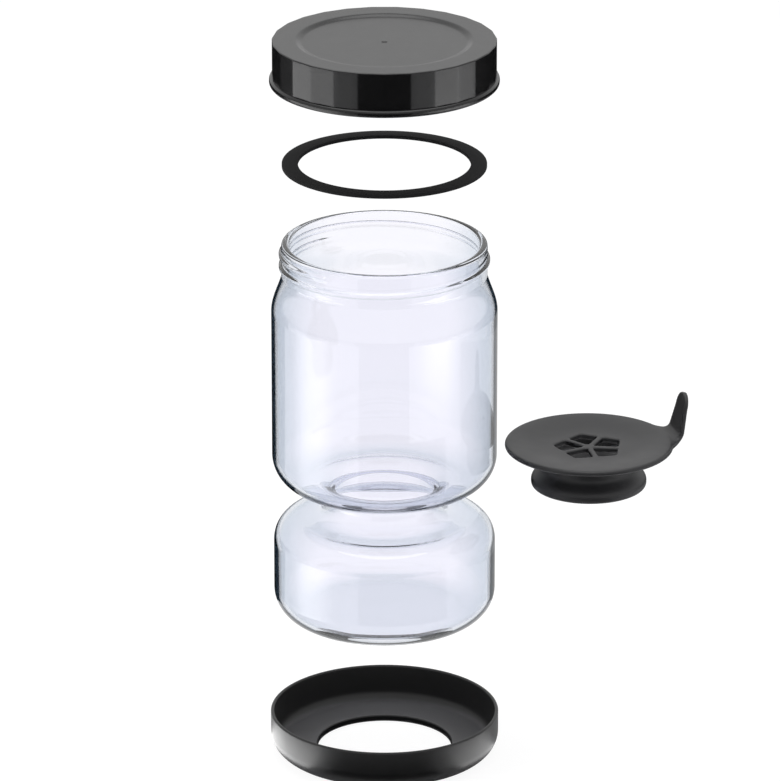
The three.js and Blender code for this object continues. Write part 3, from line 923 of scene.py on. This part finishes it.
def moulded_polypropylene(lid):
    """Polypropylene, injection moulded in a satin tool: dark, faintly mottled, with a soft sheen."""
    material, add = new_material("polypropylene_satin_moulded")
    # Flow marks a few millimetres across, and a tool grain of about 0.4 mm, drawn at 1.1 mm so that it shows.
    cloud = noise(add, 7 * MM, Detail=3.0, Roughness=0.55)
    grain = noise(add, 1.1 * MM, Detail=5.0)
    plastic = add("BsdfPrincipled", {"Base Color": varied(add, cloud, lid.plastic, 0.86, 1.16),
                                     "Roughness": ranged(add, cloud, 0.22, 0.29),
                                     "Normal": bumped(add, grain, 0.5, 0.06 * MM)},
                  IOR=1.49, Specular_IOR_Level=0.41)
    return surfaced(material, add, plastic)


def moulded_rubber(gasket):
    """Nitrile rubber, moulded and matt: near black, with a fine dusty grain."""
    material, add = new_material("nitrile_rubber_moulded")
    grain = noise(add, 0.5 * MM, Detail=3.0)
    rubber = add("BsdfPrincipled", {"Base Color": varied(add, grain, gasket.rubber, 0.8, 1.25),
                                    "Normal": bumped(add, grain, 0.2, 0.03 * MM)},
                 Roughness=0.85, IOR=1.4, Specular_IOR_Level=0.3)
    return surfaced(material, add, rubber)


def moulded_silicone(silicone, name, matt=None):
    """Silicone rubber, compression moulded: a soft satin. Where its floor marks say so the colour is painted
    paler, a painted light for the light that falls from overhead on the ring's inner floor.
    """
    material, add = new_material(f"silicone_moulded_{name}")
    # Dust and wear in patches of a few millimetres, and a grain that only dulls the highlights.
    cloud = noise(add, 9 * MM, Detail=3.0)
    grain = noise(add, 0.4 * MM, Detail=2.0)
    tone = varied(add, cloud, silicone, 0.88, 1.14)
    # Painted light: the inner floor is mixed to the paler colour where its marks say, for the light that falls on
    # it from overhead.
    if matt:
        tone = mixed(add, add("Attribute", attribute_name="matt_floor").outputs["Fac"], tone, matt)
    rubber = add("BsdfPrincipled", {"Base Color": tone, "Roughness": ranged(add, cloud, 0.40, 0.50),
                                    "Normal": bumped(add, grain, 0.15, 0.02 * MM)}, IOR=1.45)
    return surfaced(material, add, rubber)


# The stage: floor, cards, lamps, world and camera.
PHOTO_HEIGHT = 781  # pixels
CLIP_END = 50
FLOOR_HALF = 6.0
FLOOR_DROP = -0.2 * MM

# How bright the floor's white is, and its share of what the camera sees of the floor. The paint is the rest.
FLOOR_WHITE = 1.1
FLOOR_WHITE_SHARE = 0.82

# How bright the room is to what the camera, mirrors and glass don't show.
ROOM_LIGHT = 0.35

WHITE = (1, 1, 1, 1)
FLOCK_BLACK = (0.004, 0.004, 0.004, 1)

# Bands of the floor round the jar's axis, by what mirrors them: near and far radius in metres.
HOLE_BAND = (0.0, 0.028)
BASE_BAND = (0.0, 0.056)
RING_BAND = (0.05, 0.15)
JAR_BAND = (0.16, 0.64)
JAR_FRONT_BAND = (0.2, 0.64)
JAR_RIGHT_BAND = (0.44, 0.64)
LID_BAND = (0.72, 1.1)
FAR_BAND = (0.64, 4.0)
OVERHEAD_BAND = (0.0, 0.36)
ALL_ROUND = (0, 360)

# Light that leaves the base ring meets the near cards within this length, and light from the jar comes further.
RING_REACH = 0.056
JAR_REACH = 0.66

CARD_HEIGHT = 0.6 * MM
WINDOW_HEIGHT = 1.2 * MM
UNDER_HEIGHT = 50 * MM
OVERHEAD_HEIGHT = 780 * MM
CARD_STEPS = 16
ROUND_STEPS = 48

# The upright card between the jar and the strainer: its gap to the jar, half its width, and its heights.
SIDE_CARD_GAP = 1.5 * MM
SIDE_CARD_HALF = 37 * MM
SIDE_CARD_HEIGHTS = (90 * MM, 190 * MM)

# Light at a smaller angle to a louvred card than this runs past it.
LOUVRE_DEGREES = 15.5

# How fast a soft card's glow rises from its sides.
SOFT_EDGE_RISE = 2.2


def floor_paint(stage):
    """Painted board: white to the camera and through glass, with the object's soft shadow on it."""
    material, add = new_material("painted_board_floor")
    path = add("LightPath")
    seen = either(add, path.outputs["Is Camera Ray"], path.outputs["Is Transmission Ray"])
    weight = add("Math", {0: seen, 1: FLOOR_WHITE_SHARE}, operation="MULTIPLY")
    board = add("BsdfDiffuse", Color=(*stage.floor_colour, 1))
    white = add("Emission", Color=WHITE, Strength=FLOOR_WHITE)
    both = add("MixShader", {0: weight.outputs[0], 1: board.outputs[0], 2: white.outputs[0]})
    return surfaced(material, add, both)


def card_material(name, shader, reach=None, one_sided=False, louvred=False, soft=False, **values):
    """Card that dark pieces mirror, and that light inside the glass, or from further off than reach, runs past.

    A louvred card shows nothing to light that skims it. A soft one fades to its sides.
    """
    material, add = new_material(name)
    path = add("LightPath")
    past = over(add, path.outputs["Transmission Depth"], 0.5)  # light inside the glass has a depth of 1 or more
    if reach:
        past = either(add, past, over(add, path.outputs["Ray Length"], reach))
    if one_sided:
        past = either(add, past, add("NewGeometry").outputs["Backfacing"])
    if louvred:
        facing = add("LayerWeight", Blend=0.5).outputs["Facing"]
        past = either(add, past, over(add, facing, 1 - math.sin(math.radians(LOUVRE_DEGREES))))
    inputs = {}
    if soft:
        share = add("Attribute", attribute_name="glow_share").outputs["Fac"]
        inputs["Strength"] = ranged(add, share, 1.0, values["Strength"])
    card = add(shader, inputs, **values)
    both = add("MixShader", {0: past, 1: card.outputs[0], 2: add("BsdfTransparent").outputs[0]})
    return surfaced(material, add, both)


def black_card(name, reach=None):
    """Flocked card: it takes the light out of what faces it."""
    return card_material(f"flocked_black_card_{name}", "BsdfDiffuse", reach, Color=FLOCK_BLACK)


def glowing_card(name, strength, **how_seen):
    """Paper card under its own lamp."""
    return card_material(f"lit_paper_card_{name}", "Emission", Color=WHITE, Strength=strength, **how_seen)


def card_object(name, vertices, faces, material):
    """A card that is left to reflections alone."""
    card = mesh_object(name, vertices, faces)
    card.data.materials.append(material)
    card.visible_camera = False
    card.visible_transmission = False
    card.visible_diffuse = False
    card.visible_shadow = False
    return card


def floor_card(name, band, sector, material, height=CARD_HEIGHT, steps=CARD_STEPS, near_share=1.0):
    """A flat sector round the jar's axis, from one degree to another, counted from the front to the right.

    Its glow_share falls off to its sides, and to near_share at its near edge, for soft cards to read.
    """
    vertices = []
    for i in range(steps + 1):
        a = math.radians(sector[0] + (sector[1] - sector[0]) * i / steps)
        vertices += [(JAR_AXIS + r * math.sin(a), -r * math.cos(a), height) for r in band]
    faces = [(2 * i, 2 * i + 1, 2 * i + 3, 2 * i + 2) for i in range(steps)]
    card = card_object(name, vertices, faces, material)
    store_marks(card, "glow_share", [smoothstep(SOFT_EDGE_RISE * min(i, steps - i) / steps) * share
                                     for i in range(steps + 1) for share in (near_share, 1.0)])
    return card


def area_light(name, location, target, width, height, power):
    """A soft box that its own reflections don't show."""
    data = bpy.data.lights.new(name, "AREA")
    data.shape = "RECTANGLE"
    data.size = width
    data.size_y = height
    data.energy = power
    lamp = bpy.data.objects.new(name, data)
    lamp.location = location
    lamp.rotation_mode = "QUATERNION"
    lamp.rotation_quaternion = (Vector(target) - Vector(location)).to_track_quat("-Z", "Y")
    lamp.visible_glossy = False
    lamp.visible_transmission = False
    bpy.context.scene.collection.objects.link(lamp)


class KEEPER_OT_stage(bpy.types.Operator):
    """Sets the floor, cards, lamps, world and camera"""

    bl_idname = "keeper.stage"
    bl_label = "Stage"

    def execute(self, context):
        stage = context.scene.keeper_stage
        scene = context.scene
        middle = Vector((JAR_AXIS + stage.aim_aside, 0, stage.aim_height))
        corners = [(x * FLOOR_HALF, y * FLOOR_HALF, FLOOR_DROP) for x, y in ((-1, -1), (1, -1), (1, 1), (-1, 1))]
        floor = mesh_object("studio_floor", corners, [(0, 1, 2, 3)])
        floor.data.materials.append(floor_paint(stage))
        black = black_card("far")
        near_black = black_card("near", RING_REACH)
        side = JAR_HIGH.x + SIDE_CARD_GAP
        low, high = SIDE_CARD_HEIGHTS
        side_corners = [(side, y, z) for y, z in ((-SIDE_CARD_HALF, low), (-SIDE_CARD_HALF, high),
                                                  (SIDE_CARD_HALF, high), (SIDE_CARD_HALF, low))]
        floor_card("front_flag", FAR_BAND, (-29, 29), black)
        floor_card("near_flag", RING_BAND, (-36, 33), near_black)
        floor_card("hole_flag", HOLE_BAND, ALL_ROUND, near_black, steps=ROUND_STEPS)
        floor_card("left_flag", FAR_BAND, (-180, -111), black)
        floor_card("left_jar_flag", JAR_BAND, (-179, -118), black_card("left", JAR_REACH))
        floor_card("right_jar_card", JAR_BAND, (125, 179), glowing_card("dim", 0.45, reach=JAR_REACH))
        floor_card("right_flag", FAR_BAND, (100, 180), black)
        floor_card("left_card", LID_BAND, (-107, -44), glowing_card("left", 4.5, louvred=True))
        floor_card("right_card", LID_BAND, (44, 92), glowing_card("right", 4.7, louvred=True))
        floor_card("left_window", JAR_BAND, (-106, -44),
                       glowing_card("left_window", 3.6, louvred=True, soft=True))
        floor_card("right_window", JAR_RIGHT_BAND, (24, 88),
                       glowing_card("right_window", 4.2, louvred=True, soft=True), WINDOW_HEIGHT, near_share=0.0)
        floor_card("left_glow", RING_BAND, (-104, -47), glowing_card("low_left", 6.5, reach=RING_REACH))
        floor_card("right_glow", RING_BAND, (47, 88), glowing_card("low_right", 3.6, reach=RING_REACH))
        floor_card("under_card", BASE_BAND, ALL_ROUND, glowing_card("under", 1.0), UNDER_HEIGHT, ROUND_STEPS)
        floor_card("collar_flag", JAR_FRONT_BAND, (-25, 62), black)
        card_object("jar_side_card", side_corners, [(0, 1, 2, 3)], glowing_card("side", 0.6, one_sided=True))
        floor_card("overhead_card", OVERHEAD_BAND, ALL_ROUND, glowing_card("overhead", 3.4), OVERHEAD_HEIGHT,
                       ROUND_STEPS)
        area_light("overhead_softbox", (0, 0.15, 1.6), (0, 0, 0.1), width=1.5, height=1.2, power=15)
        area_light("left_softbox", (-1.1, -0.25, 0.45), middle, width=0.9, height=1.0, power=12)
        area_light("right_softbox", (1.1, -0.2, 0.45), middle, width=0.7, height=1.0, power=9)
        self.set_world(scene)
        self.set_camera(scene, stage, middle)
        scene.view_settings.view_transform = "Standard"
        return {"FINISHED"}

    def set_world(self, scene):
        """White behind the object, and a quieter grey for the light that the room gives it."""
        world = bpy.data.worlds.new("studio_world")
        scene.world = world
        world.use_nodes = True
        add = node_adder(world.node_tree)
        path = add("LightPath")
        seen = either(add, path.outputs["Is Camera Ray"], path.outputs["Is Glossy Ray"])
        seen = either(add, seen, path.outputs["Is Transmission Ray"])
        background = add("Background", {"Strength": ranged(add, seen, ROOM_LIGHT, 1.0)}, Color=WHITE)
        add("OutputWorld", {"Surface": background.outputs["Background"]})

    def set_camera(self, scene, stage, middle):
        """A long lens at the photograph's height, framed so that one pixel is `pixel` wide at the object."""
        data = bpy.data.cameras.new("photo_camera")
        data.sensor_width = 36.0
        data.lens = data.sensor_width * stage.camera_distance / (PHOTO_HEIGHT * stage.pixel)
        data.clip_end = CLIP_END
        camera = bpy.data.objects.new("photo_camera", data)
        scene.collection.objects.link(camera)
        elevation = stage.camera_elevation
        back = Vector((0, -math.cos(elevation), math.sin(elevation)))
        camera.location = middle + back * stage.camera_distance
        camera.rotation_mode = "QUATERNION"
        camera.rotation_quaternion = (-back).to_track_quat("-Z", "Y")
        scene.camera = camera


class KEEPER_PT_panel(bpy.types.Panel):
    bl_idname = "KEEPER_PT_panel"
    bl_label = "Pickle keeper"
    bl_space_type = "VIEW_3D"
    bl_region_type = "UI"
    bl_category = "Keeper"

    def draw(self, context):
        for operator, name, _ in STEPS:
            box = self.layout.box()
            box.operator(operator.bl_idname)
            settings = getattr(context.scene, name)
            for setting in settings.__annotations__:
                box.prop(settings, setting)


# Each operator, the name that its settings have in the scene, and their group, in the order of building.
STEPS = (
    (KEEPER_OT_stage, "keeper_stage", KeeperStage),
    (KEEPER_OT_ring, "keeper_ring", KeeperRing),
    (KEEPER_OT_jar, "keeper_jar", KeeperJar),
    (KEEPER_OT_gasket, "keeper_gasket", KeeperGasket),
    (KEEPER_OT_lid, "keeper_lid", KeeperLid),
    (KEEPER_OT_strainer, "keeper_strainer", KeeperStrainer),
)


def register():
    for operator, name, group in STEPS:
        bpy.utils.register_class(group)
        setattr(bpy.types.Scene, name, PointerProperty(type=group))
        bpy.utils.register_class(operator)
    bpy.utils.register_class(KEEPER_PT_panel)


def unregister():
    bpy.utils.unregister_class(KEEPER_PT_panel)
    for operator, name, group in reversed(STEPS):
        bpy.utils.unregister_class(operator)
        delattr(bpy.types.Scene, name)
        bpy.utils.unregister_class(group)


def main():
    register()
    bpy.ops.keeper.stage()
    bpy.ops.keeper.ring()
    bpy.ops.keeper.jar()
    bpy.ops.keeper.gasket()
    bpy.ops.keeper.lid()
    bpy.ops.keeper.strainer()


if __name__ == "__main__":
    main()
